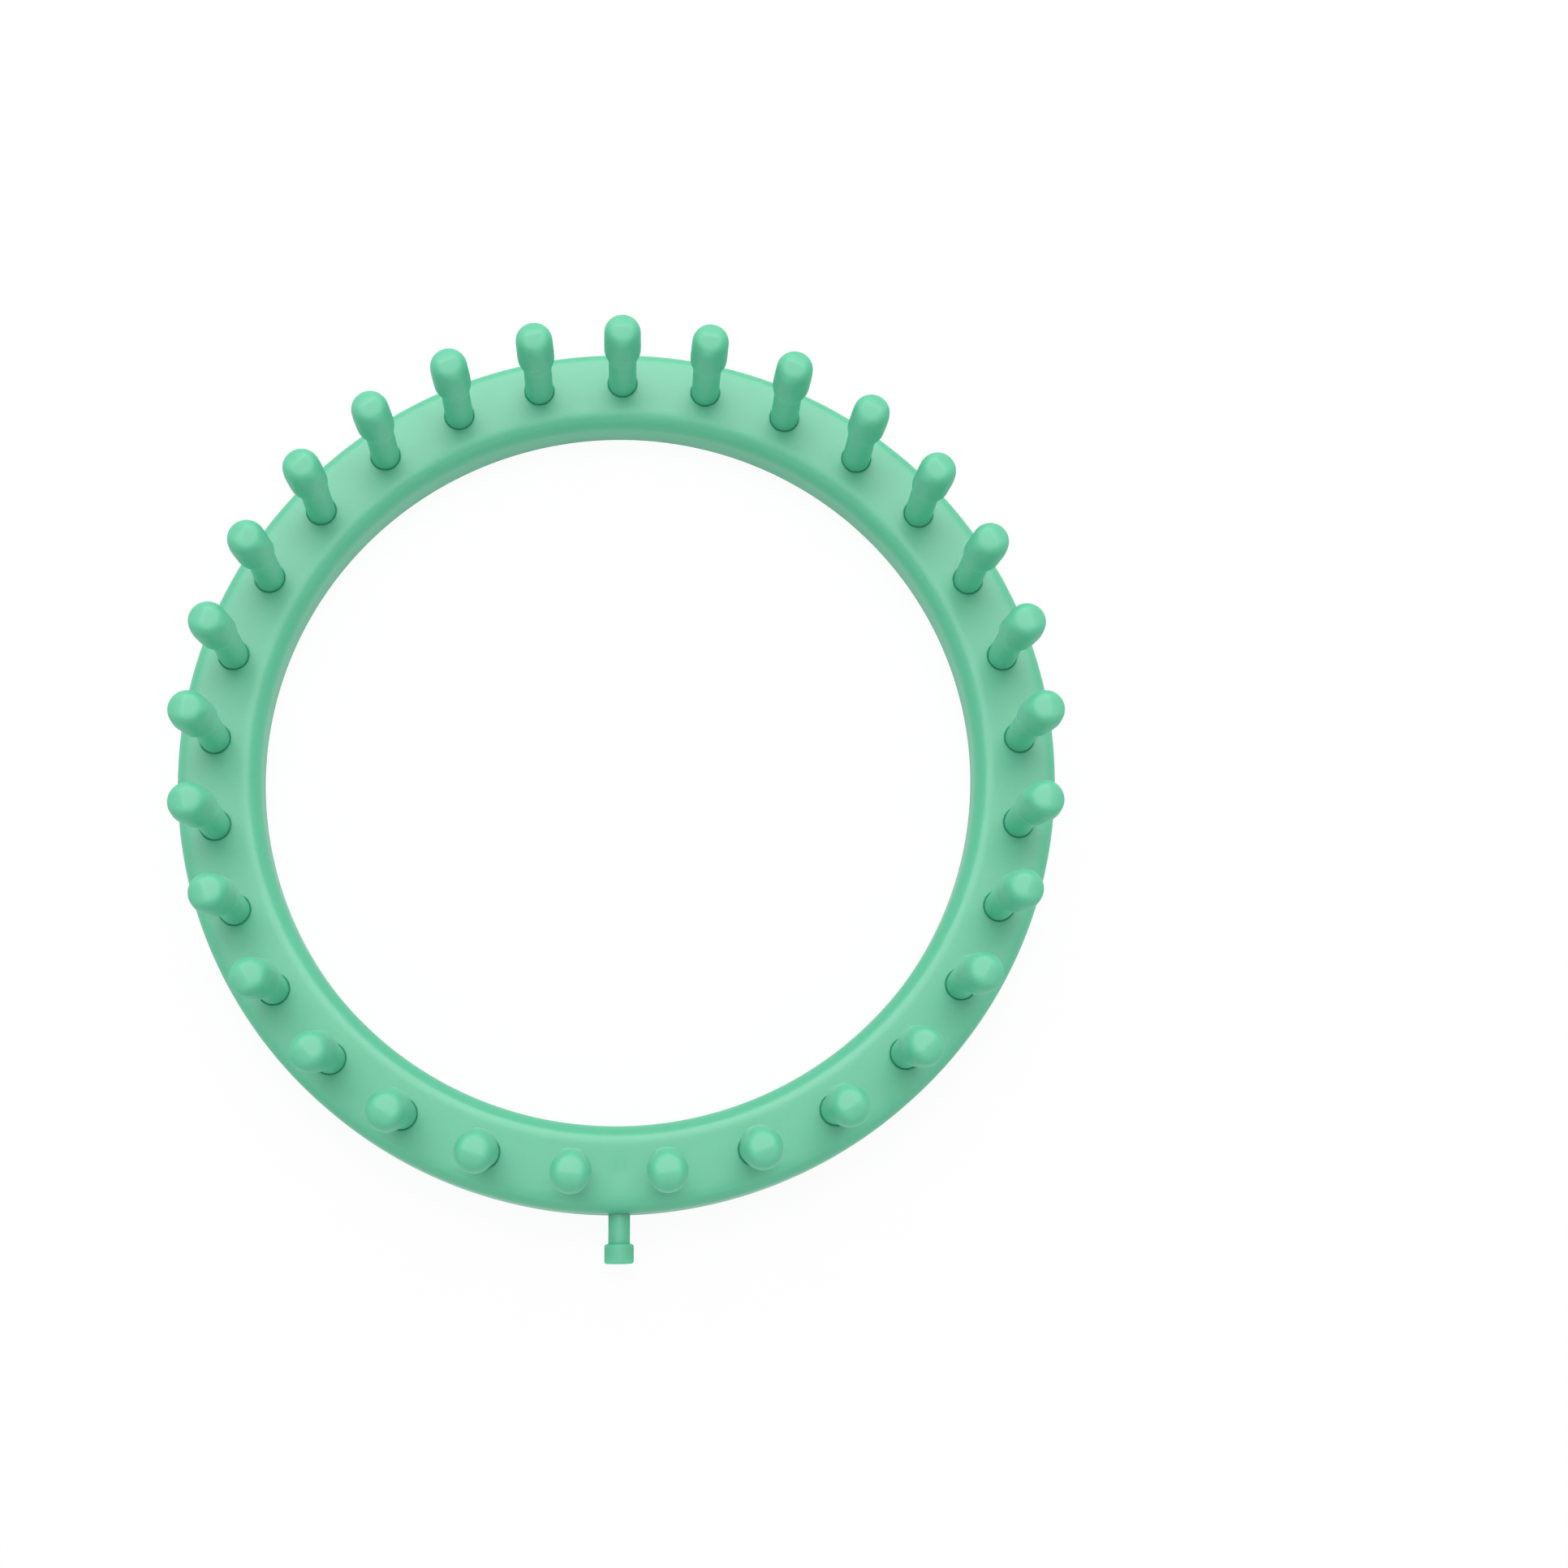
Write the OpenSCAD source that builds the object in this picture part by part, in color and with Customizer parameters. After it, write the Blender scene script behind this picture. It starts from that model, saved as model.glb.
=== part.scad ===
// Round knitting loom. A moulded channel ring carries a circle of knob-headed pegs, and one small
// side peg holds the yarn's tail. The ring lies on its two rims at z = 0, centred on the z axis,
// with the side peg towards -Y. Lengths are in millimetres.

/* [Ring] */
// Outer diameter of the ring
ring_d = 190.5; // [160:0.5:260]
// Width of the ring from its inner wall to its outer wall
ring_w = 17.75; // [16.5:0.05:22]
// Height of the ring
ring_h = 10.5; // [9.5:0.1:16]
// Thickness of the inner and outer walls
wall_t = 2.2; // [1.4:0.1:3]
// Thickness of the top wall
top_t = 2.4; // [1.6:0.1:3.5]
// Radius of the rounded inner shoulder
inner_shoulder_r = 4.2; // [3.2:0.1:5]
// Width of the rounded inner shoulder, seen from above
inner_shoulder_w = 2.9; // [2:0.1:3.2]
// Radius of the rounded outer shoulder
outer_shoulder_r = 3.2; // [2.4:0.1:4]
// Width of the rounded outer shoulder, seen from above
outer_shoulder_w = 2.2; // [1.5:0.1:2.4]

/* [Pegs] */
// Number of pegs round the ring
peg_n = 29; // [24:1:31]
// Distance from the ring's outer wall to the pegs' axes
peg_inset = 7.85; // [7.4:0.05:9]
// Height of a peg above the ring's top
peg_h = 29; // [22:0.5:36]
// Diameter of a peg's stem
stem_d = 6.2; // [5.4:0.1:6.6]
// Width of the knob across the peg
knob_d = 8; // [7:0.1:9]
// How far the knob's centre stands out from the stem's axis
knob_reach = 1.8; // [1.2:0.1:2.4]
// Height of the knob's straight middle
knob_mid_h = 5.6; // [3:0.1:7]
// Diameter of the head's inner cheek
cheek_d = 6.8; // [6.7:0.05:7]
// Height of the cheek's lower lip below the peg's top
cheek_h = 9.3; // [7:0.1:12]
// Drop from the knob's top to the cheek's top
cheek_drop = 1.4; // [1:0.1:2]
// Radius of the rounded edge round the cheek's top
cheek_round = 1.6; // [0.8:0.1:2]
// Height of the lip's slope from the stem out to the cheek
lip_h = 0.7; // [0.4:0.1:1.2]

/* [Peg sockets] */
// Diameter of the spigot that plugs into the ring
spigot_d = 5.2; // [4.4:0.1:5.3]
// Clearance round the spigot
spigot_clear = 0.05; // [0.03:0.01:0.1]
// How far the spigot's end stays above the ring's rims
spigot_lift = 1.2; // [0.6:0.1:2]
// Depth of the key flat on the spigot
key_depth = 0.7; // [0.4:0.1:1]
// Bevel at the spigot's end
spigot_bevel = 0.5; // [0.3:0.1:0.8]
// Wall of the socket tube under the ring's top
socket_t = 1.5; // [1:0.1:1.8]
// Gap round the stem in the socket's mouth
mouth_gap = 0.45; // [0.2:0.05:0.6]
// Depth of the socket's mouth
mouth_depth = 1; // [0.6:0.1:1.4]
// Thickness of the rib through each socket
rib_t = 1.4; // [0.8:0.1:2]
// How far the ribs and sockets stay above the ring's rims
rib_lift = 1.8; // [1.2:0.1:3]

/* [Side peg] */
// Diameter of the side peg's stem
side_stem_d = 4.5; // [3.6:0.1:5]
// Length of the side peg's stem that shows outside the ring
side_stem_len = 6; // [4:0.1:10]
// Diameter of the side peg's collar
side_collar_d = 6.1; // [5.4:0.1:8]
// Length of the side peg's collar
side_collar_len = 3.9; // [2.5:0.1:6]
// Rounded edge of the collar
side_collar_round = 0.5; // [0.3:0.1:0.8]
// Depth of the side peg's socket, measured from the ring's outer wall
side_socket_depth = 9; // [7:0.1:10.5]
// Thickness at the closed end of the side socket
side_socket_end_t = 1.6; // [1:0.1:2.2]
// Clearance round the side peg in its socket
side_clear = 0.05; // [0.03:0.01:0.1]

/* [Hidden] */
// Overrun of cuts past the faces that they open
cut_over = 1;
// How far a tube, rib or wall sinks into the wall that it joins
join_sink = 0.4;
ring_r = ring_d / 2;
opening_r = ring_r - ring_w;
peg_r = ring_r - peg_inset;
peg_step = 360 / peg_n;
// The first peg stands at +Y and the side peg points to -Y
first_peg_angle = 90;
side_peg_angle = -90;

// Height of a shoulder's arc, which starts upright at the wall and meets the top at a slight crease
function shoulder_h(r, w) = sqrt(r * r - (r - w) * (r - w));

// Heights on a peg, measured from the ring's rims
seat_z = ring_h - mouth_depth;
peg_top_z = ring_h + peg_h;
knob_top_z = peg_top_z - knob_d / 2;
knob_low_z = knob_top_z - knob_mid_h;
cheek_top_z = peg_top_z - cheek_drop;
lip_z = peg_top_z - cheek_h;

// The bores that take the spigots and the side peg
socket_bore_d = spigot_d + 2 * spigot_clear;
socket_d = socket_bore_d + 2 * socket_t;
mouth_d = stem_d + 2 * mouth_gap;
side_bore_d = side_stem_d + 2 * side_clear;
side_boss_d = side_bore_d + 2 * socket_t;
side_peg_z = ring_h / 2;

function peg_name(i) = str("peg_", i < 10 ? "0" : "", i);
function peg_angle(i) = first_peg_angle - (i - 1) * peg_step;

$fn = 64;

// Moves a child drawn at the origin, facing +X, to a peg's place with +X pointing outwards
module at_peg(i) {
    rotate([0, 0, peg_angle(i)]) translate([peg_r, 0, 0]) children();
}

// One half of the ring's section up to its rounded shoulder, drawn from the wall towards +X
module shoulder_half(r, w) {
    arc_z = ring_h - shoulder_h(r, w);
    square([r, arc_z]);
    translate([r, arc_z]) circle(r);
    translate([r, 0]) square([ring_w / 2 - r, ring_h]);
}

// The ring's outer section, a block with two rounded shoulders
module ring_section() {
    intersection() {
        translate([opening_r, 0]) square([ring_w, ring_h]);
        union() {
            translate([opening_r, 0]) shoulder_half(inner_shoulder_r, inner_shoulder_w);
            translate([ring_r, 0]) mirror([1, 0]) shoulder_half(outer_shoulder_r, outer_shoulder_w);
        }
    }
}

// The open channel under the ring's top wall
module channel_section() {
    channel_h = ring_h - top_t + cut_over;
    translate([opening_r + wall_t, -cut_over]) square([ring_w - 2 * wall_t, channel_h]);
}

// A tube under the top wall that holds one spigot, with a rib to both side walls
module socket_tube() {
    tube_h = ring_h - top_t + join_sink - rib_lift;
    rib_in = ring_w - peg_inset - wall_t + join_sink;
    rib_out = peg_inset - wall_t + join_sink;
    translate([0, 0, rib_lift]) {
        cylinder(d = socket_d, h = tube_h);
        translate([-rib_in, -rib_t / 2, 0]) cube([rib_in + rib_out, rib_t, tube_h]);
    }
}

// A round bar with a key flat on its inner side
module keyed_bar(d, z_low, z_high) {
    flat_x = spigot_d / 2 - key_depth + (d - spigot_d) / 2;
    translate([0, 0, z_low]) difference() {
        cylinder(d = d, h = z_high - z_low);
        translate([-flat_x - d, -d, -cut_over]) cube([d, 2 * d, z_high - z_low + 2 * cut_over]);
    }
}

// What a peg's spigot and the foot of its stem take out of the ring
module socket_cut() {
    keyed_bar(socket_bore_d, rib_lift - cut_over, ring_h);
    translate([0, 0, seat_z]) cylinder(d = mouth_d, h = mouth_depth + cut_over);
}

// The boss inside the outer wall that holds the side peg, closed at its inner end
module side_boss() {
    boss_len = side_socket_depth + side_socket_end_t - wall_t + join_sink;
    boss_r = ring_r - side_socket_depth - side_socket_end_t;
    translate([boss_r, 0, side_peg_z]) rotate([0, 90, 0]) cylinder(d = side_boss_d, h = boss_len);
}

module side_bore() {
    translate([ring_r - side_socket_depth, 0, side_peg_z]) rotate([0, 90, 0])
        cylinder(d = side_bore_d, h = side_socket_depth + cut_over);
}

module ring() {
    color("mediumaquamarine") difference() {
        union() {
            rotate_extrude($fn = 180) difference() {
                ring_section();
                channel_section();
            }
            for (i = [1:peg_n]) at_peg(i) socket_tube();
            rotate([0, 0, side_peg_angle]) side_boss();
        }
        for (i = [1:peg_n]) at_peg(i) socket_cut();
        rotate([0, 0, side_peg_angle]) side_bore();
    }
}

// The stem with its seat on the mouth's floor, and the head's inner cheek with its rounded top
module post() {
    stem_r = stem_d / 2;
    cheek_r = cheek_d / 2;
    edge_z = cheek_top_z - cheek_round;
    rotate_extrude() {
        translate([0, seat_z]) square([stem_r, lip_z - seat_z]);
        polygon([[0, lip_z - lip_h], [stem_r, lip_z - lip_h], [cheek_r, lip_z], [0, lip_z]]);
        translate([0, lip_z]) square([cheek_r, edge_z - lip_z]);
        translate([0, lip_z]) square([cheek_r - cheek_round, cheek_top_z - lip_z]);
        translate([cheek_r - cheek_round, edge_z]) intersection() {
            circle(cheek_round);
            square(cheek_round);
        }
    }
}

// The knob, upright with a round top and a round underside
module knob() {
    knob_r = knob_d / 2;
    translate([knob_reach, 0, 0]) rotate_extrude() {
        translate([0, knob_low_z]) square([knob_r, knob_mid_h]);
        intersection() {
            translate([0, knob_low_z - knob_r]) square([knob_r, knob_mid_h + 2 * knob_r]);
            union() {
                translate([0, knob_low_z]) circle(knob_r);
                translate([0, knob_top_z]) circle(knob_r);
            }
        }
    }
}

// The flat sides that run from the cheek out to the knob, touching both circles
module head_web() {
    cheek_r = cheek_d / 2;
    knob_r = knob_d / 2;
    lean = asin((knob_r - cheek_r) / knob_reach);
    side = [-sin(lean), cos(lean)];
    web_low_z = max(lip_z, knob_low_z);
    translate([0, 0, web_low_z]) linear_extrude(knob_top_z - web_low_z) polygon([
        cheek_r * side,
        [knob_reach, 0] + knob_r * side,
        [knob_reach - knob_r * sin(lean), -knob_r * cos(lean)],
        [-cheek_r * sin(lean), -cheek_r * cos(lean)]
    ]);
}

// The spigot that plugs into the socket, bevelled at its end
module spigot() {
    bevel_r = spigot_d / 2 - spigot_bevel;
    // It runs on into the stem, so that both stay one solid at any size
    top_z = seat_z + join_sink;
    intersection() {
        keyed_bar(spigot_d, spigot_lift, top_z);
        rotate_extrude() polygon([
            [0, spigot_lift],
            [bevel_r, spigot_lift],
            [spigot_d, spigot_lift + spigot_d - bevel_r],
            [spigot_d, top_z],
            [0, top_z]
        ]);
    }
}

module peg(i) {
    color("mediumaquamarine") at_peg(i) {
        spigot();
        post();
        head_web();
        knob();
    }
}

module side_peg() {
    collar_r = side_collar_d / 2;
    collar_z = side_socket_depth + side_stem_len;
    end_z = collar_z + side_collar_len;
    flat_r = collar_r - side_collar_round;
    color("mediumaquamarine") rotate([0, 0, side_peg_angle])
        translate([ring_r - side_socket_depth, 0, side_peg_z]) rotate([0, 90, 0]) rotate_extrude() {
            square([side_stem_d / 2, collar_z]);
            translate([0, collar_z]) square([flat_r, side_collar_len]);
            translate([0, collar_z + side_collar_round])
                square([collar_r, side_collar_len - 2 * side_collar_round]);
            translate([flat_r, collar_z + side_collar_round]) circle(side_collar_round);
            translate([flat_r, end_z - side_collar_round]) circle(side_collar_round);
        }
}

ring();
for (i = [1:peg_n]) peg(i);
side_peg();
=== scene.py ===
import math

import bmesh
import bpy
import numpy as np
from mathutils import Matrix, Vector


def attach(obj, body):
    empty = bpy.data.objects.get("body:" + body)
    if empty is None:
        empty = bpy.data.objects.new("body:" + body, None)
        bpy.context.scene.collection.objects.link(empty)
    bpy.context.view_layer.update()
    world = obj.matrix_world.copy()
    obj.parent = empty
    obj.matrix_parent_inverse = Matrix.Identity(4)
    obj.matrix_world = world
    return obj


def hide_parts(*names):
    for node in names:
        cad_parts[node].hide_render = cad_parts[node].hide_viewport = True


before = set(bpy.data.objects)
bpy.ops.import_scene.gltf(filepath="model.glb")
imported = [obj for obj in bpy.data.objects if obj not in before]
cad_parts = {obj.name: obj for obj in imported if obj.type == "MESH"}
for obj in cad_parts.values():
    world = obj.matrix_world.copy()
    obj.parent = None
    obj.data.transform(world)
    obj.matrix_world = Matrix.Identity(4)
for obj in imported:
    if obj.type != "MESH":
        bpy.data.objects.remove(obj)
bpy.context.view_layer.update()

MM = 0.001

# Sizes in millimetres and angles in degrees, the same as in the part's source
RING_R = 95.25
RING_W = 17.75
RING_H = 10.5
OPENING_R = RING_R - RING_W
WALL_T = 2.2
TOP_T = 2.4
INNER_SHOULDER_R = 4.2
INNER_SHOULDER_W = 2.9
OUTER_SHOULDER_R = 3.2
OUTER_SHOULDER_W = 2.2
PEG_N = 29
PEG_INSET = 7.85
PEG_R = RING_R - PEG_INSET
PEG_H = 29
PEG_TOP_Z = RING_H + PEG_H
FIRST_PEG_ANGLE = 90
STEM_R = 3.1
SPIGOT_R = 2.6
SPIGOT_LOW_Z = 1.2
SPIGOT_BEVEL = 0.5
KEY_DEPTH = 0.7
SOCKET_CLEAR = 0.05
SOCKET_T = 1.5
MOUTH_DEPTH = 1.0
SEAT_Z = RING_H - MOUTH_DEPTH
RIB_T = 1.4
RIB_LIFT = 1.8
SIDE_STEM_R = 2.25
SIDE_STEM_LEN = 6.0
SIDE_COLLAR_R = 3.05
SIDE_COLLAR_LEN = 3.9
SIDE_ROUND = 0.5
SIDE_DEPTH = 9.0
SIDE_END_T = 1.6
SIDE_Z = RING_H / 2
SIDE_PEG_ANGLE = -90
JOIN_SINK = 0.4
CUT_OVER = 1.0

# Rounds, bevels and blends that only the scene has
RIM_ROUND = 0.35
CHANNEL_ROUND = 0.6
SHOULDER_BLEND = 1.6
TUBE_ROUND = 0.25
MOUTH_R = STEM_R + 0.02
MOUTH_BEVEL = 0.22
MOUTH_ROUND = 0.28
STEM_BEVEL = 0.2
SIDE_NECK_ROUND = 0.3
# A shoulder's arc goes over into its blend this far before its crease, in radians
SHOULDER_STOP = 0.25
# The ribs end this far under the tubes' tops, so that no two faces lie in one plane
RIB_DROP = 0.1
# The round at the side peg's end stops at this angle, and the end face runs on through
# these points, each as its radius and its depth
SIDE_END_ANGLE = 84
SIDE_END = ((1.6, 0.02), (0.8, 0.0))

# The faint sink mark in the top, over the side peg's boss: how far out it lies, half its length
# and width, its depth, and the share of its radius that its wave covers. Its cutter stands out
# of the top by the last value, counted in depths.
SINK_R = 87.0
SINK_HALF = (4.0, 3.0)
SINK_DEPTH = 0.1
SINK_SHARE = 0.97
SINK_OVER = 4.0

# Steps of the meshes
RING_STEPS = PEG_N * 10
SOCKET_STEPS = 48
PEG_STEPS = 64
EDGE_STEPS = 4
CHANNEL_STEPS = 5
SHOULDER_STEPS = 9
BLEND_STEPS = 8
MOUTH_STEPS = 5
SINK_STEPS = 10
SIDE_INNER_STEPS = 5
SIDE_COLLAR_STEPS = 6
# Points of a mesh this close, in metres, become one
MERGE_DISTANCE = 1e-7
# Smooth shading turns sharp past these angles
RING_SHARP = 25
PEG_SHARP = 35
# How strongly the larger faces keep their own shading, where 50 is even
FLAT_WEIGHT = 80


def arc(cx, cy, r, start, end, steps):
    """Points on an arc from one angle to another, in degrees, with both ends."""
    angles = [math.radians(start + (end - start) * k / steps) for k in range(steps + 1)]
    return [(cx + r * math.cos(a), cy + r * math.sin(a)) for a in angles]


def circle(r, z, steps, keyed=False):
    """A circle of points at a height; a keyed one is cut flat on its inner side."""
    points = []
    for k in range(steps):
        a = 2 * math.pi * k / steps
        x = r * math.cos(a)
        if keyed:
            x = max(x, KEY_DEPTH - SPIGOT_R - (r - SPIGOT_R))
        points.append((x, r * math.sin(a), z))
    return points


def loft(rows, closed=False):
    """Vertices and faces through rows of points.

    Both ends are capped, or if closed the last row is joined to the first.
    """
    steps = len(rows[0])
    verts = [p for row in rows for p in row]
    faces = []
    last = len(rows) if closed else len(rows) - 1
    for i in range(last):
        low = i * steps
        high = (i + 1) % len(rows) * steps
        for k in range(steps):
            n = (k + 1) % steps
            faces.append((low + k, low + n, high + n, high + k))
    if not closed:
        for row, start in ((rows[0], 0), (rows[-1], (len(rows) - 1) * steps)):
            centre = tuple(sum(p[axis] for p in row) / steps for axis in range(3))
            verts.append(centre)
            for k in range(steps):
                n = (k + 1) % steps
                faces.append((len(verts) - 1, start + n, start + k))
    return verts, faces


def lathe(profile, steps, closed=False):
    """A loft through circles, from a profile of radii and heights."""
    return loft([circle(r, z, steps) for r, z in profile], closed)


def at_angle(verts, degrees, shift=(0.0, 0.0, 0.0)):
    """Points shifted and then turned about the z axis."""
    turn = Matrix.Rotation(math.radians(degrees), 3, "Z")
    return [turn @ (Vector(v) + Vector(shift)) for v in verts]


def peg_angle(i):
    """The angle of a peg, counted from 0 and clockwise from the middle of the far side."""
    return FIRST_PEG_ANGLE - i * 360 / PEG_N


def lying(verts):
    """Points drawn along z, laid down so that z becomes the way out towards +X."""
    return [(v[2], v[1], -v[0]) for v in verts]


def at_side(shell):
    """A shell drawn along z, laid where the side peg goes."""
    verts, faces = shell
    return at_angle(lying(verts), SIDE_PEG_ANGLE, (0, 0, SIDE_Z)), faces


def make(name, shells):
    """One mesh object from shells of (vertices, faces) in millimetres."""
    verts = []
    faces = []
    for shell_verts, shell_faces in shells:
        first = len(verts)
        verts.extend(Vector(v) * MM for v in shell_verts)
        faces.extend(tuple(first + k for k in face) for face in shell_faces)
    mesh = bpy.data.meshes.new(name)
    mesh.from_pydata(verts, [], faces)
    bm = bmesh.new()
    bm.from_mesh(mesh)
    bmesh.ops.remove_doubles(bm, verts=bm.verts, dist=MERGE_DISTANCE)
    bmesh.ops.recalc_face_normals(bm, faces=bm.faces)
    bm.to_mesh(mesh)
    bm.free()
    obj = bpy.data.objects.new(name, mesh)
    bpy.context.collection.objects.link(obj)
    return obj


def cut_and_join(obj, tools):
    """Joins tool solids to obj or cuts them out of it, and keeps the result as its mesh."""
    for operation, tool in tools:
        boolean = obj.modifiers.new(operation.lower(), "BOOLEAN")
        boolean.operation = operation
        boolean.object = tool
        boolean.solver = "MANIFOLD"
    bpy.context.view_layer.update()
    graph = bpy.context.evaluated_depsgraph_get()
    mesh = bpy.data.meshes.new_from_object(obj.evaluated_get(graph))
    obj.modifiers.clear()
    obj.data = mesh
    for _, tool in tools:
        bpy.data.objects.remove(tool)


def shade(obj, sharp_degrees, keep_flat=False):
    """Smooth shading with sharp edges past an angle, and if asked with flat faces kept flat."""
    obj.data.shade_smooth()
    obj.data.set_sharp_from_angle(angle=math.radians(sharp_degrees))
    if not keep_flat:
        return
    weighted = obj.modifiers.new("weighted_normals", "WEIGHTED_NORMAL")
    weighted.mode = "FACE_AREA"
    weighted.weight = FLAT_WEIGHT
    weighted.keep_sharp = True


def shoulder(wall_x, side, r, w):
    """A shoulder from its wall up to the flat top, with its crease blended over SHOULDER_BLEND."""
    crease = math.acos((r - w) / r)
    centre_z = RING_H - r * math.sin(crease)
    bend = crease - SHOULDER_STOP
    points = []
    for k in range(SHOULDER_STEPS + 1):
        a = bend * k / SHOULDER_STEPS
        points.append((r * (1 - math.cos(a)), centre_z + r * math.sin(a)))
    start = points[-1]
    slope = math.cos(bend) / math.sin(bend)
    corner = (start[0] + (RING_H - start[1]) / slope, RING_H)
    end = (corner[0] + SHOULDER_BLEND, RING_H)
    for k in range(1, BLEND_STEPS + 1):
        t = k / BLEND_STEPS
        points.append(tuple(
            (1 - t) ** 2 * start[i] + 2 * t * (1 - t) * corner[i] + t * t * end[i] for i in range(2)
        ))
    return [(wall_x - side * x, z) for x, z in points]


def ring_profile():
    """The ring's section, counter-clockwise from the foot of its outer wall."""
    inner_x = OPENING_R + WALL_T
    outer_x = RING_R - WALL_T
    ceiling = RING_H - TOP_T
    fillet_z = ceiling - CHANNEL_ROUND
    points = arc(RING_R - RIM_ROUND, RIM_ROUND, RIM_ROUND, -90, 0, EDGE_STEPS)
    points += shoulder(RING_R, 1, OUTER_SHOULDER_R, OUTER_SHOULDER_W)
    points += reversed(shoulder(OPENING_R, -1, INNER_SHOULDER_R, INNER_SHOULDER_W))
    points += arc(OPENING_R + RIM_ROUND, RIM_ROUND, RIM_ROUND, 180, 270, EDGE_STEPS)
    points += arc(inner_x - RIM_ROUND, RIM_ROUND, RIM_ROUND, 270, 360, EDGE_STEPS)
    points += arc(inner_x + CHANNEL_ROUND, fillet_z, CHANNEL_ROUND, 180, 90, CHANNEL_STEPS)
    points += arc(outer_x - CHANNEL_ROUND, fillet_z, CHANNEL_ROUND, 90, 0, CHANNEL_STEPS)
    points += arc(outer_x + RIM_ROUND, RIM_ROUND, RIM_ROUND, 180, 270, EDGE_STEPS)
    return points


def socket_shells():
    """The tube, the rib and the cutter of one socket, drawn at the origin with +X outwards."""
    bore_r = SPIGOT_R + SOCKET_CLEAR
    tube_r = bore_r + SOCKET_T
    top_z = RING_H - TOP_T + JOIN_SINK
    edge = TUBE_ROUND
    tube = lathe(
        [(tube_r - edge, RIB_LIFT)]
        + arc(tube_r - edge, RIB_LIFT + edge, edge, -90, 0, EDGE_STEPS)[1:]
        + [(tube_r, top_z)],
        SOCKET_STEPS,
    )
    rib_in = -(RING_W - PEG_INSET - WALL_T + JOIN_SINK)
    rib_out = PEG_INSET - WALL_T + JOIN_SINK
    half = RIB_T / 2
    outline = arc(half - edge, RIB_LIFT + edge, edge, -90, 0, EDGE_STEPS)
    outline += [(half, top_z - RIB_DROP), (-half, top_z - RIB_DROP)]
    outline += arc(edge - half, RIB_LIFT + edge, edge, 180, 270, EDGE_STEPS)
    rib = loft([[(x, y, z) for y, z in outline] for x in (rib_in, rib_out)])
    # The bevel at the mouth, at 45 degrees, and the round over it
    bend = MOUTH_ROUND * math.sqrt(0.5)
    rim_r = MOUTH_R + MOUTH_BEVEL + bend
    rows = [
        circle(bore_r, RIB_LIFT - CUT_OVER, SOCKET_STEPS, keyed=True),
        circle(bore_r, SEAT_Z, SOCKET_STEPS, keyed=True),
        circle(MOUTH_R, SEAT_Z, SOCKET_STEPS),
        circle(MOUTH_R, RING_H - MOUTH_ROUND + bend - MOUTH_BEVEL, SOCKET_STEPS),
    ]
    for r, z in arc(rim_r, RING_H - MOUTH_ROUND, MOUTH_ROUND, 135, 90, MOUTH_STEPS):
        rows.append(circle(r, z, SOCKET_STEPS))
    rows.append(circle(rim_r, RING_H + CUT_OVER, SOCKET_STEPS))
    return tube, rib, loft(rows)


def sink_shell():
    """The cutter of the sink mark, a round wave stretched to an oval."""
    wave = []
    for k in range(1, SINK_STEPS + 1):
        r = SINK_SHARE * k / SINK_STEPS
        wave.append((r, -0.5 - 0.5 * math.cos(math.pi * SINK_SHARE * k / SINK_STEPS)))
    verts, faces = lathe(wave + [(1.0, SINK_OVER)], SOCKET_STEPS)
    half_x, half_y = SINK_HALF
    placed = [(SINK_R + half_x * x, half_y * y, RING_H + SINK_DEPTH * z) for x, y, z in verts]
    return at_angle(placed, SIDE_PEG_ANGLE), faces


def build_ring():
    tube, rib, cutter = socket_shells()
    tubes = []
    ribs = []
    cutters = []
    for i in range(PEG_N):
        for solid, group in ((tube, tubes), (rib, ribs), (cutter, cutters)):
            group.append((at_angle(solid[0], peg_angle(i), (PEG_R, 0, 0)), solid[1]))
    bore_r = SIDE_STEM_R + SOCKET_CLEAR
    boss_r = bore_r + SOCKET_T
    boss_in = RING_R - SIDE_DEPTH - SIDE_END_T
    boss = lathe(
        arc(boss_r - TUBE_ROUND, boss_in + TUBE_ROUND, TUBE_ROUND, -90, 0, EDGE_STEPS)
        + [(boss_r, RING_R - WALL_T + JOIN_SINK)],
        SOCKET_STEPS,
    )
    bore = lathe([(bore_r, RING_R - SIDE_DEPTH), (bore_r, RING_R + CUT_OVER)], SOCKET_STEPS)
    cutters.append(at_side(bore))
    ring = make("loom_ring_body", [lathe(ring_profile(), RING_STEPS, closed=True)])
    cut_and_join(ring, [
        ("UNION", make("tubes", tubes)),
        ("UNION", make("ribs", ribs)),
        ("UNION", make("boss", [at_side(boss)])),
        ("DIFFERENCE", make("cutters", cutters)),
        ("DIFFERENCE", make("sink_mark", [sink_shell()])),
    ])
    shade(ring, RING_SHARP, keep_flat=True)
    return ring


# The balls whose hull is a peg's head, as centre and radius: x outwards, y across, z up
HEAD_BALLS = (
    ((1.8, 0.0, 36.1), 4.0),
    ((1.9, 0.0, 33.3), 4.0),
    ((1.0, 0.0, 29.0), 4.05),
    ((0.0, 0.0, 36.1), 2.7),
    ((-1.2, 0.85, 31.0), 1.98),
    ((-1.2, -0.85, 31.0), 1.98),
)
# The head's points are found on rays from here, between two angles from straight up
HEAD_CENTRE = (0.6, 0.0, 31.5)
HEAD_ROWS = 70
LOWEST_RAY = 163.0
HIGHEST_RAY = 1.2
# The hull is tested in this many directions, in batches that keep the memory small
HULL_DIRECTIONS = 6000
HULL_BATCH = 500
# On top a slight facet faces inwards, up to a crease, and past it the top rolls off outwards
CREASE = (2.1, PEG_TOP_Z)
FACET_TILT = 11.0
ROLL_R = 5.4
ROLL_X = 1.6
TOP_BLEND = 0.45
NECK_BLEND = 1.0
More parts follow.
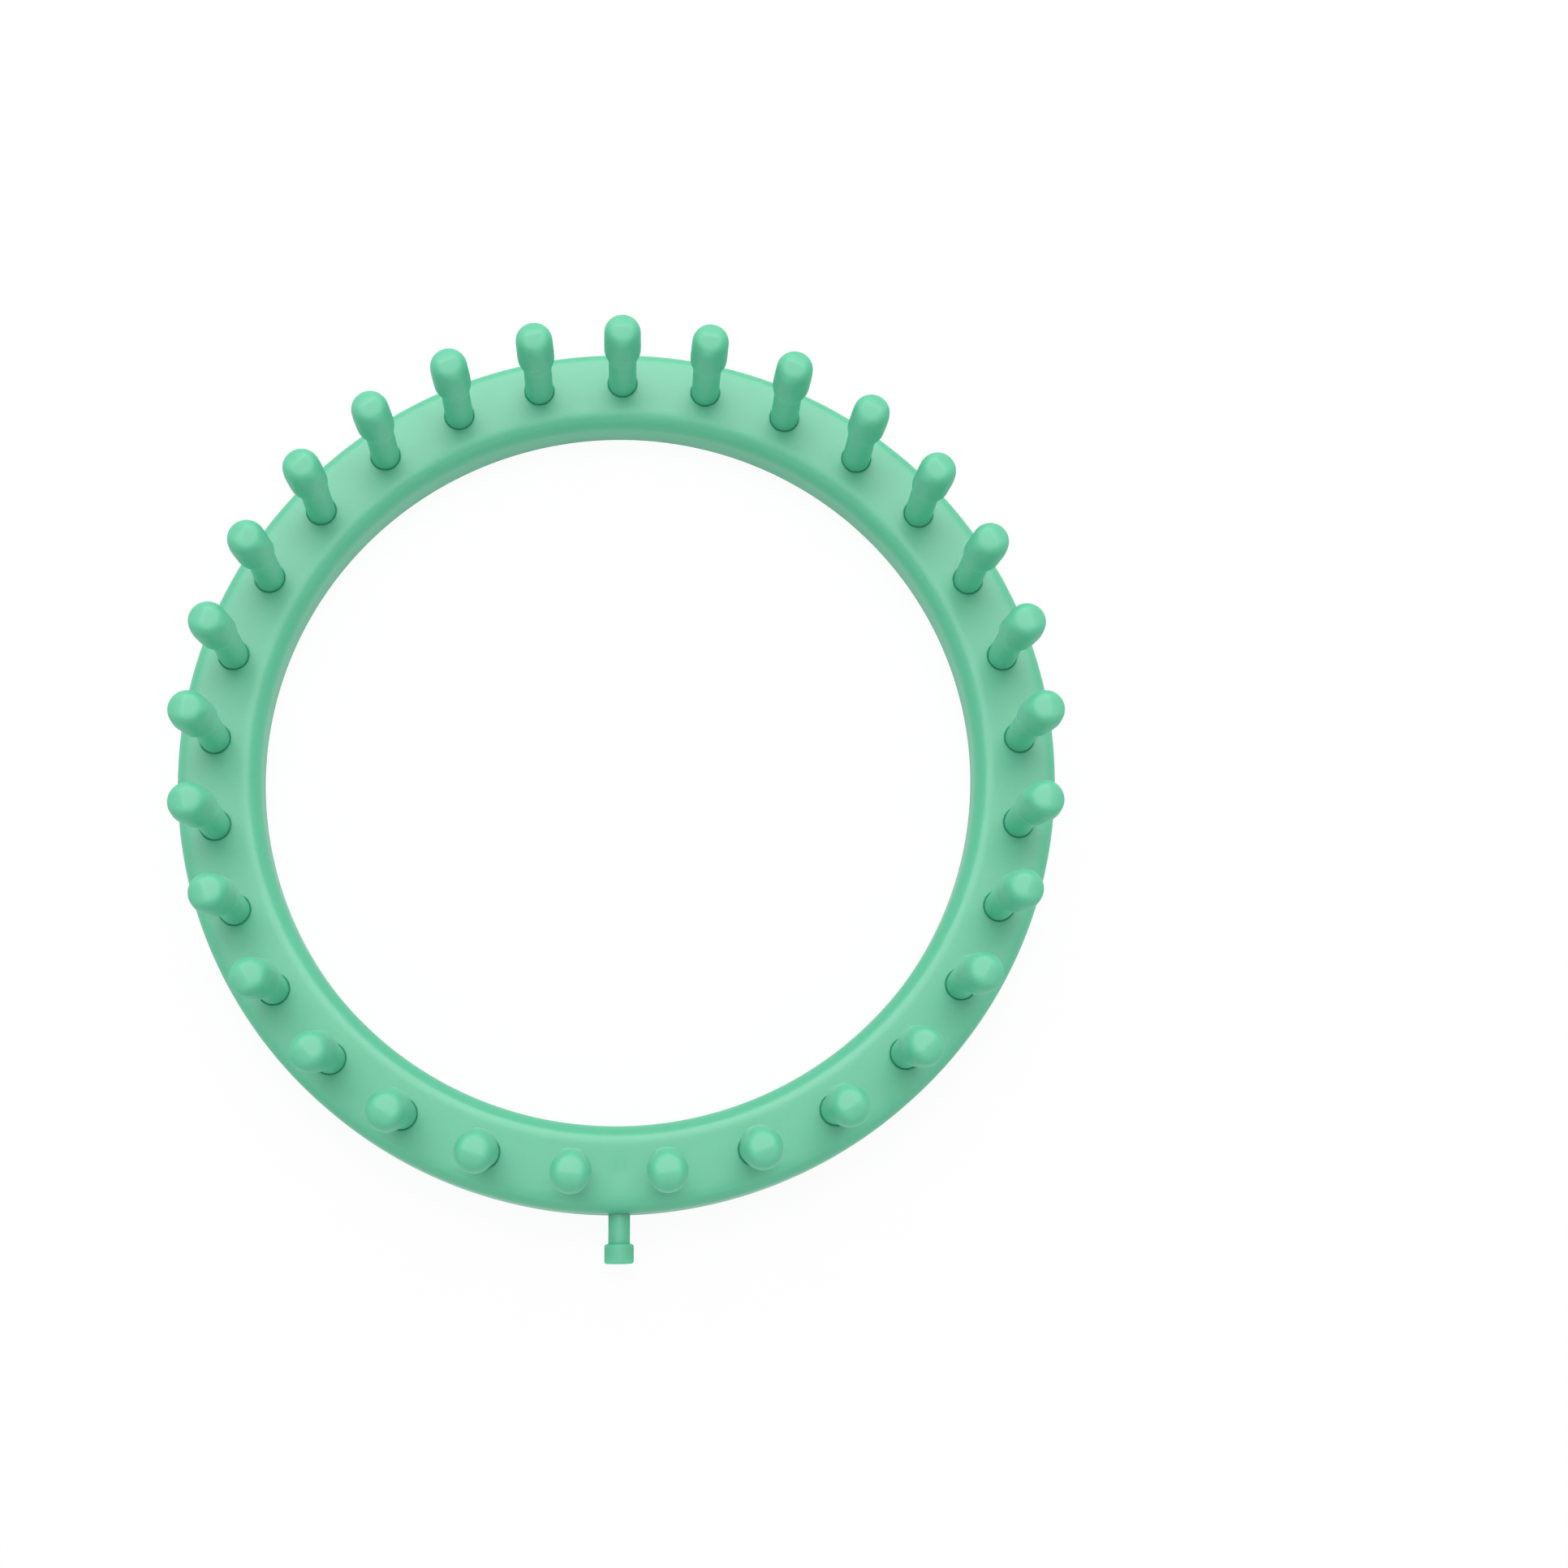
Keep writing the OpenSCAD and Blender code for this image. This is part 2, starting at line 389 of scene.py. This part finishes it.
# The stem fades out inside the head: it takes hold on rays that slope down by more than the
# first value, lies at its full radius at the first and second together, and starts this deep
FADE_START = 0.05
FADE_SPAN = 0.4
FADE_DEPTH = 1.5
# Heights over the ring of the stem's rows
STEM_ROWS = (0.5, 5.0, 8.5)
# A reach past every head, and the least values that are divided by
FAR = 40.0
LEAST_ALONG = 1e-3
LEAST_SQUARE = 1e-9


def soft_min(a, b, k):
    """The lesser of two values, with their meeting rounded over a width k."""
    h = np.clip(0.5 + 0.5 * (b - a) / k, 0, 1)
    return b * (1 - h) + a * h - k * h * (1 - h)


def soft_max(a, b, k):
    """The greater of two values, with their meeting rounded over a width k."""
    return -soft_min(-a, -b, k)


def directions(count):
    """Evenly spread unit vectors."""
    k = np.arange(count) + 0.5
    z = 1 - 2 * k / count
    turn = math.pi * (1 + math.sqrt(5)) * k
    flat = np.sqrt(1 - z * z)
    return np.c_[flat * np.cos(turn), flat * np.sin(turn), z]


def hull_reach(rays, centre):
    """How far each ray runs from the centre to the hull of the balls."""
    normals = directions(HULL_DIRECTIONS)
    support = np.max([(np.array(c) - centre) @ normals.T + r for c, r in HEAD_BALLS], axis=0)
    reach = np.full(len(rays), np.inf)
    for start in range(0, HULL_DIRECTIONS, HULL_BATCH):
        batch = slice(start, start + HULL_BATCH)
        along = rays @ normals[batch].T
        hit = np.where(along > LEAST_ALONG, support[batch] / np.maximum(along, LEAST_ALONG), np.inf)
        reach = np.minimum(reach, hit.min(axis=1))
    return reach


def facet_reach(rays, centre):
    """How far each ray runs to the facet's plane."""
    tilt = math.radians(FACET_TILT)
    normal = np.array([-math.sin(tilt), 0.0, math.cos(tilt)])
    height = (np.array([CREASE[0], 0.0, CREASE[1]]) - centre) @ normal
    along = rays @ normal
    return np.where(along > LEAST_ALONG, height / np.maximum(along, LEAST_ALONG), FAR)


def roll_reach(rays, centre):
    """How far each ray runs to the roll-off, a cylinder that lies across the peg."""
    roll_z = CREASE[1] - math.sqrt(ROLL_R ** 2 - (CREASE[0] - ROLL_X) ** 2)
    off = centre[[0, 2]] - np.array([ROLL_X, roll_z])
    a = rays[:, 0] ** 2 + rays[:, 2] ** 2
    b = rays[:, 0] * off[0] + rays[:, 2] * off[1]
    c = off @ off - ROLL_R ** 2
    reach = (-b + np.sqrt(np.maximum(b * b - a * c, 0))) / np.maximum(a, LEAST_SQUARE)
    return np.where((rays[:, 2] > 0) & (rays[:, 0] > 0), reach, FAR)


def stem_reach(rays, centre):
    """How far each ray runs to the stem, and 0 where the stem doesn't show."""
    a = rays[:, 0] ** 2 + rays[:, 1] ** 2
    b = rays[:, 0] * centre[0]
    root = np.sqrt(b * b - a * (centre[0] ** 2 - STEM_R ** 2))
    reach = (-b + root) / np.maximum(a, LEAST_SQUARE)
    fade = np.clip((-rays[:, 2] - FADE_START) / FADE_SPAN, 0, 1)
    return np.where(fade > 0, reach - FADE_DEPTH * (1 - fade * fade * (3 - 2 * fade)), 0.0)


def head_rows():
    """Rows of points round a peg's neck and head, from the stem up to the top's middle."""
    thetas = np.radians(np.linspace(LOWEST_RAY, HIGHEST_RAY, HEAD_ROWS))
    phis = 2 * np.pi * np.arange(PEG_STEPS) / PEG_STEPS
    th, ph = np.meshgrid(thetas, phis, indexing="ij")
    rays = np.stack([np.sin(th) * np.cos(ph), np.sin(th) * np.sin(ph), np.cos(th)], -1)
    rays = rays.reshape(-1, 3)
    centre = np.array(HEAD_CENTRE)
    top = np.minimum(np.minimum(facet_reach(rays, centre), roll_reach(rays, centre)), FAR)
    head = soft_min(hull_reach(rays, centre), top, TOP_BLEND)
    reach = soft_max(head, stem_reach(rays, centre), NECK_BLEND)
    points = centre + rays * reach[:, None]
    return points.reshape(HEAD_ROWS, PEG_STEPS, 3)


def build_peg_shell():
    """One peg, upright at the origin with its knob towards +X."""
    head = head_rows()
    rows = [
        circle(SPIGOT_R - SPIGOT_BEVEL, SPIGOT_LOW_Z, PEG_STEPS, keyed=True),
        circle(SPIGOT_R, SPIGOT_LOW_Z + SPIGOT_BEVEL, PEG_STEPS, keyed=True),
        circle(SPIGOT_R, SEAT_Z, PEG_STEPS, keyed=True),
        circle(STEM_R - STEM_BEVEL, SEAT_Z, PEG_STEPS),
        circle(STEM_R, SEAT_Z + STEM_BEVEL, PEG_STEPS),
    ]
    # The stem's rows take the directions of the head's lowest row, so that the quads run straight
    low = head[0][:, :2]
    flat = low * (STEM_R / np.hypot(low[:, 0], low[:, 1]))[:, None]
    for height in STEM_ROWS:
        rows.append([(x, y, RING_H + height) for x, y in flat])
    rows += [[tuple(p) for p in row] for row in head]
    return loft(rows)


def build_side_peg():
    inner = RING_R - SIDE_DEPTH
    collar = RING_R + SIDE_STEM_LEN
    end = collar + SIDE_COLLAR_LEN
    r = SIDE_ROUND
    neck = SIDE_NECK_ROUND
    profile = arc(SIDE_STEM_R - r, inner + r, r, -90, 0, SIDE_INNER_STEPS)
    profile += arc(SIDE_STEM_R + neck, collar - neck, neck, 180, 90, EDGE_STEPS)
    profile += arc(SIDE_COLLAR_R - r, collar + r, r, -90, 0, SIDE_COLLAR_STEPS)
    profile += arc(SIDE_COLLAR_R - r, end - r, r, 0, SIDE_END_ANGLE, SIDE_COLLAR_STEPS)
    profile += [(radius, end - depth) for radius, depth in SIDE_END]
    side = make("tail_peg_body", [at_side(lathe(profile, PEG_STEPS))])
    shade(side, PEG_SHARP)
    return side


# Plastic: the two colours between which each piece varies, its roughness and its refraction
RING_LOOK = ((0.082, 0.5, 0.304), (0.073, 0.475, 0.284), 0.45, 1.53)
PEG_LOOK = ((0.084, 0.495, 0.304), (0.075, 0.47, 0.284), 0.58, 1.58)
SPECULAR_LEVEL = 0.95
# How far light spreads under the surface in red, green and blue, as shares of a distance in metres
SUBSURFACE_RADIUS = (0.3, 1.0, 0.6)
SUBSURFACE_SCALE = 0.0035
ROUGHNESS_SPREAD = 0.03
FLOW_SCALE = 45.0
FLOW_DETAIL = 3.0
GRAIN_SCALE = 2600.0
GRAIN_DETAIL = 2.0
GRAIN_STRENGTH = 0.12
GRAIN_DEPTH = 0.00004


def plastic(name, colour, deep, roughness, ior):
    """Satin moulded plastic, a little translucent, with faint flow and a fine grain."""
    material = bpy.data.materials.new(name)
    material.use_nodes = True
    nodes = material.node_tree.nodes
    links = material.node_tree.links
    shader = nodes["Principled BSDF"]
    shader.inputs["IOR"].default_value = ior
    shader.inputs["Specular IOR Level"].default_value = SPECULAR_LEVEL
    shader.inputs["Subsurface Weight"].default_value = 1.0
    shader.inputs["Subsurface Radius"].default_value = SUBSURFACE_RADIUS
    shader.inputs["Subsurface Scale"].default_value = SUBSURFACE_SCALE
    place = nodes.new("ShaderNodeTexCoord")
    flow = nodes.new("ShaderNodeTexNoise")
    flow.inputs["Scale"].default_value = FLOW_SCALE
    flow.inputs["Detail"].default_value = FLOW_DETAIL
    mix = nodes.new("ShaderNodeMix")
    mix.data_type = "RGBA"
    mix.inputs["A"].default_value = (*colour, 1)
    mix.inputs["B"].default_value = (*deep, 1)
    grain = nodes.new("ShaderNodeTexNoise")
    grain.inputs["Scale"].default_value = GRAIN_SCALE
    grain.inputs["Detail"].default_value = GRAIN_DETAIL
    rough = nodes.new("ShaderNodeMapRange")
    rough.inputs["To Min"].default_value = roughness - ROUGHNESS_SPREAD
    rough.inputs["To Max"].default_value = roughness + ROUGHNESS_SPREAD
    bump = nodes.new("ShaderNodeBump")
    bump.inputs["Strength"].default_value = GRAIN_STRENGTH
    bump.inputs["Distance"].default_value = GRAIN_DEPTH
    links.new(place.outputs["Object"], flow.inputs["Vector"])
    links.new(place.outputs["Object"], grain.inputs["Vector"])
    links.new(flow.outputs["Fac"], mix.inputs["Factor"])
    links.new(mix.outputs["Result"], shader.inputs["Base Color"])
    links.new(flow.outputs["Fac"], rough.inputs["Value"])
    links.new(rough.outputs["Result"], shader.inputs["Roughness"])
    links.new(grain.outputs["Fac"], bump.inputs["Height"])
    links.new(bump.outputs["Normal"], shader.inputs["Normal"])
    return material


def dress(piece, material, slot, *nodes):
    """Gives a piece its material, and puts it in place of its CAD nodes."""
    piece.data.materials.clear()
    piece.data.materials.append(material)
    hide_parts(*nodes)
    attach(piece, "root")


ring_material = plastic("ring_plastic", *RING_LOOK)
peg_material = plastic("peg_plastic", *PEG_LOOK)

dress(build_ring(), ring_material, "ring_plastic", "ring")
peg_verts, peg_faces = build_peg_shell()
for index in range(PEG_N):
    placed = at_angle(peg_verts, peg_angle(index), (PEG_R, 0, 0))
    peg = make(f"peg_body_{index + 1:02d}", [(placed, peg_faces)])
    shade(peg, PEG_SHARP)
    dress(peg, peg_material, "peg_plastic", f"peg_{index + 1:02d}")
dress(build_side_peg(), peg_material, "peg_plastic", "side_peg")

# Camera, with its place, turn and lens fitted to the photograph: focal length and width in
# pixels, the sensor in millimetres, the shift as a share of the frame, the near and far ends
# in metres, the turn about x, y and z in degrees and the place in millimetres
FOCAL_PX = 3130
PHOTO_PX = 1932
SENSOR_W = 36
SHIFT_Y = -0.15
NEAR_END = 0.01
FAR_END = 10
CAMERA_TURN = (-17.66, 3.54, -0.2)
CAMERA_AT = (1.1, -123.8, 540.0 + RING_H)

camera_data = bpy.data.cameras.new("camera")
camera_data.sensor_width = SENSOR_W
camera_data.lens = FOCAL_PX / PHOTO_PX * SENSOR_W
camera_data.shift_y = SHIFT_Y
camera_data.clip_start = NEAR_END
camera_data.clip_end = FAR_END
camera = bpy.data.objects.new("camera", camera_data)
bpy.context.collection.objects.link(camera)
pitch, yaw, roll = [math.radians(a) for a in CAMERA_TURN]
to_camera = (
    Matrix.Rotation(roll, 3, "Z") @ Matrix.Rotation(yaw, 3, "Y") @ Matrix.Rotation(pitch, 3, "X")
)
place = Vector(CAMERA_AT) * MM
camera.matrix_world = Matrix.Translation(place) @ to_camera.transposed().to_4x4()
bpy.context.scene.camera = camera
bpy.context.scene.view_settings.view_transform = "Standard"

# Floor and world: both are white where they are seen. The floor's half width and its drop under
# the part are in millimetres. It glows by its share where it is seen, and the rest is diffuse
# and takes the part's shadow. The world lights the part with its own lower level.
FLOOR_HALF = 3000.0
FLOOR_DROP = 0.02
FLOOR_GLOW_SHARE = 0.93
FLOOR_DIFFUSE = 0.86
WORLD_LIGHT = 0.75
WORLD_SEEN = 1.0


def seen_rays(nodes, links):
    """1 for a ray of the camera, a reflection or a refraction, 0 for any other."""
    path = nodes.new("ShaderNodeLightPath")
    either = nodes.new("ShaderNodeMath")
    either.operation = "MAXIMUM"
    links.new(path.outputs["Is Camera Ray"], either.inputs[0])
    links.new(path.outputs["Is Glossy Ray"], either.inputs[1])
    seen = nodes.new("ShaderNodeMath")
    seen.operation = "MAXIMUM"
    links.new(either.outputs[0], seen.inputs[0])
    links.new(path.outputs["Is Transmission Ray"], seen.inputs[1])
    return seen.outputs[0]


def floor_material():
    material = bpy.data.materials.new("floor_white")
    material.use_nodes = True
    nodes = material.node_tree.nodes
    links = material.node_tree.links
    nodes.clear()
    output = nodes.new("ShaderNodeOutputMaterial")
    diffuse = nodes.new("ShaderNodeBsdfDiffuse")
    diffuse.inputs["Color"].default_value = (FLOOR_DIFFUSE, FLOOR_DIFFUSE, FLOOR_DIFFUSE, 1)
    glow = nodes.new("ShaderNodeEmission")
    glow.inputs["Color"].default_value = (1, 1, 1, 1)
    glow.inputs["Strength"].default_value = 1.0
    share = nodes.new("ShaderNodeMath")
    share.operation = "MULTIPLY"
    share.inputs[1].default_value = FLOOR_GLOW_SHARE
    mix = nodes.new("ShaderNodeMixShader")
    links.new(seen_rays(nodes, links), share.inputs[0])
    links.new(share.outputs[0], mix.inputs["Fac"])
    links.new(diffuse.outputs[0], mix.inputs[1])
    links.new(glow.outputs[0], mix.inputs[2])
    links.new(mix.outputs[0], output.inputs["Surface"])
    return material


floor = make("floor", [(
    [(x * FLOOR_HALF, y * FLOOR_HALF, -FLOOR_DROP) for x, y in ((-1, -1), (1, -1), (1, 1), (-1, 1))],
    [(0, 1, 2, 3)],
)])
floor.data.materials.append(floor_material())

world = bpy.data.worlds.new("world")
bpy.context.scene.world = world
world.use_nodes = True
nodes = world.node_tree.nodes
links = world.node_tree.links
background = nodes["Background"]
background.inputs["Color"].default_value = (1, 1, 1, 1)
level = nodes.new("ShaderNodeMapRange")
level.inputs["To Min"].default_value = WORLD_LIGHT
level.inputs["To Max"].default_value = WORLD_SEEN
links.new(seen_rays(nodes, links), level.inputs["Value"])
links.new(level.outputs["Result"], background.inputs["Strength"])

# One large softbox behind the part and above it, with its place and size in metres
KEY_AT = (-0.05, 0.57, 1.15)
KEY_SIZE = (1.12, 1.0)
KEY_WATTS = 11.2

key_data = bpy.data.lights.new("key_light", "AREA")
key_data.shape = "RECTANGLE"
key_data.size, key_data.size_y = KEY_SIZE
key_data.energy = KEY_WATTS
key = bpy.data.objects.new("key_light", key_data)
bpy.context.collection.objects.link(key)
key.location = KEY_AT
key.rotation_euler = Vector(KEY_AT).to_track_quat("Z", "Y").to_euler()
